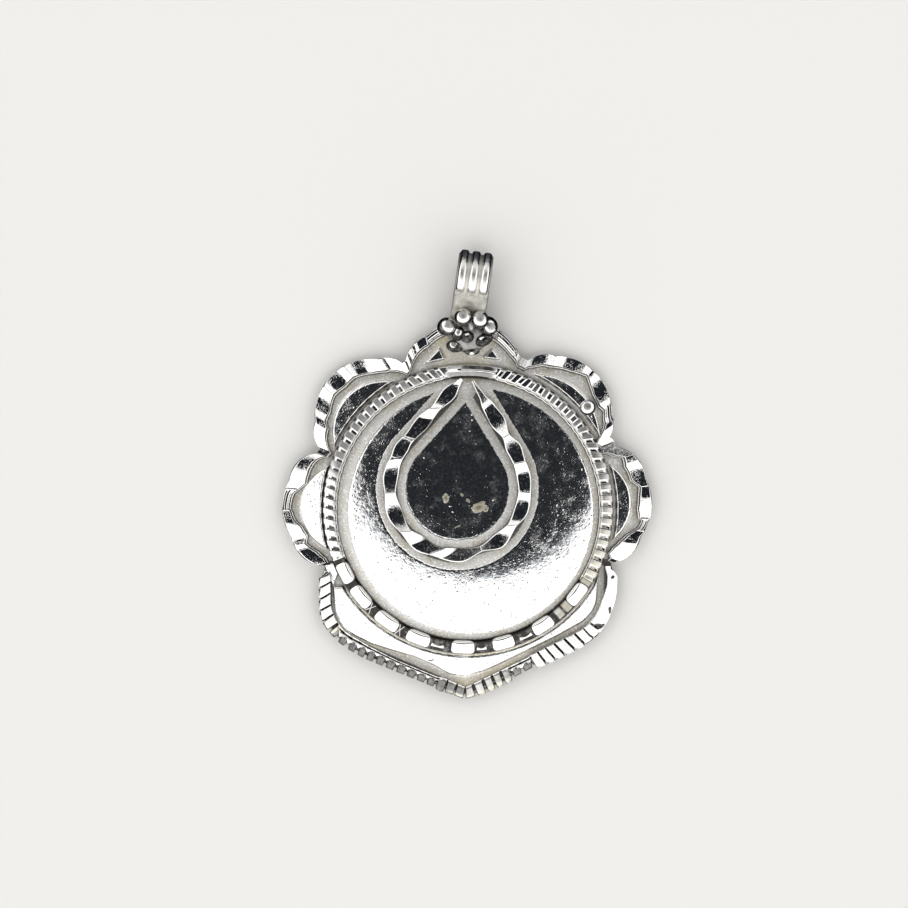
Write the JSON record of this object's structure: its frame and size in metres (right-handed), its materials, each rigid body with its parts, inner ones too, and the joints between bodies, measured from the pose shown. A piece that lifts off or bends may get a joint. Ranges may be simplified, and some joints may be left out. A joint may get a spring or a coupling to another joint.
{
  "type": "amulet pendant",
  "caption": "Silver amulet pendant with a scalloped plate, a domed medallion in a milled ring, a bright-cut teardrop rim and a ribbed bail.",
  "frame": {"origin": "under the middle of the whole pendant, on the plane of its plain back", "axes": "+Z out of the front, +Y from the shield's tip to the bail, +X to the right as seen from the front"},
  "size_m": [0.0454, 0.0549, 0.0066],
  "materials": {
    "polished_silver": "polished silver with fine casting pits, frosted along the wires, and a greyish residue in the teardrop",
    "cut_silver": "bright-cut and milled silver, darker in the grooves",
    "satin_rib_silver": "satin silver with polished ribs and frosted grooves",
    "satin_silver": "satin silver, slightly yellowed, plain on the back"
  },
  "bodies": {
    "root": {"plate": "satin_silver", "medallion": "polished_silver", "milled_ring": "cut_silver", "teardrop_rim": "cut_silver", "petal_rim_right": "cut_silver", "petal_rim_upper_right": "cut_silver", "petal_rim_top": "cut_silver", "petal_rim_upper_left": "cut_silver", "petal_rim_left": "cut_silver", "shield_border": "cut_silver", "bail": "satin_rib_silver", "rosette": "polished_silver", "granule": "polished_silver"}
  },
  "joints": []
}
